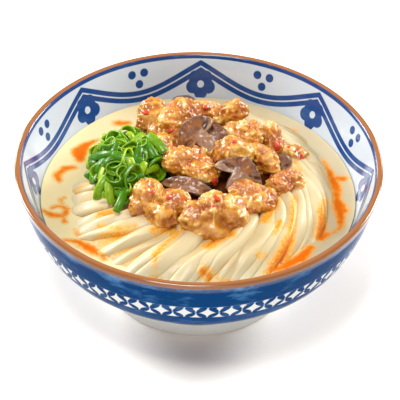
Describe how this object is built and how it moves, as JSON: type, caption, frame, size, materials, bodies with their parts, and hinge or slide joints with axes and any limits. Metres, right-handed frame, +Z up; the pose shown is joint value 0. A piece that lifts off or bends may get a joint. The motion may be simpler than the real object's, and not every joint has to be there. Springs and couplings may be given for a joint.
{
  "type": "bowl of udon noodle soup with toppings",
  "caption": "Footed round bowl filled with cream broth and thick noodles, topped with fried chicken pieces, mushroom slices and chopped scallions.",
  "frame": {"origin": "on the bowl's axis at the bottom of its foot", "axes": "+Z up along the bowl's axis, -Y towards the eater, +X to the eater's right"},
  "size_m": [0.2, 0.2, 0.0924],
  "materials": {
    "porcelain": "gloss",
    "broth": "gloss",
    "noodle": "satin",
    "scallion": "satin",
    "chicken": "satin",
    "mushroom": "satin"
  },
  "bodies": {
    "root": {"bowl": "porcelain", "broth": "broth", "noodles": "noodle", "scallions": "scallion", "chicken_01": "chicken", "chicken_02": "chicken", "chicken_03": "chicken", "chicken_04": "chicken", "chicken_05": "chicken", "chicken_06": "chicken", "chicken_07": "chicken", "chicken_08": "chicken", "chicken_09": "chicken", "chicken_10": "chicken", "chicken_11": "chicken", "chicken_12": "chicken", "chicken_13": "chicken", "chicken_14": "chicken", "chicken_15": "chicken", "chicken_16": "chicken", "mushroom_01": "mushroom", "mushroom_02": "mushroom", "mushroom_03": "mushroom", "mushroom_04": "mushroom", "mushroom_05": "mushroom", "mushroom_06": "mushroom"}
  },
  "joints": []
}
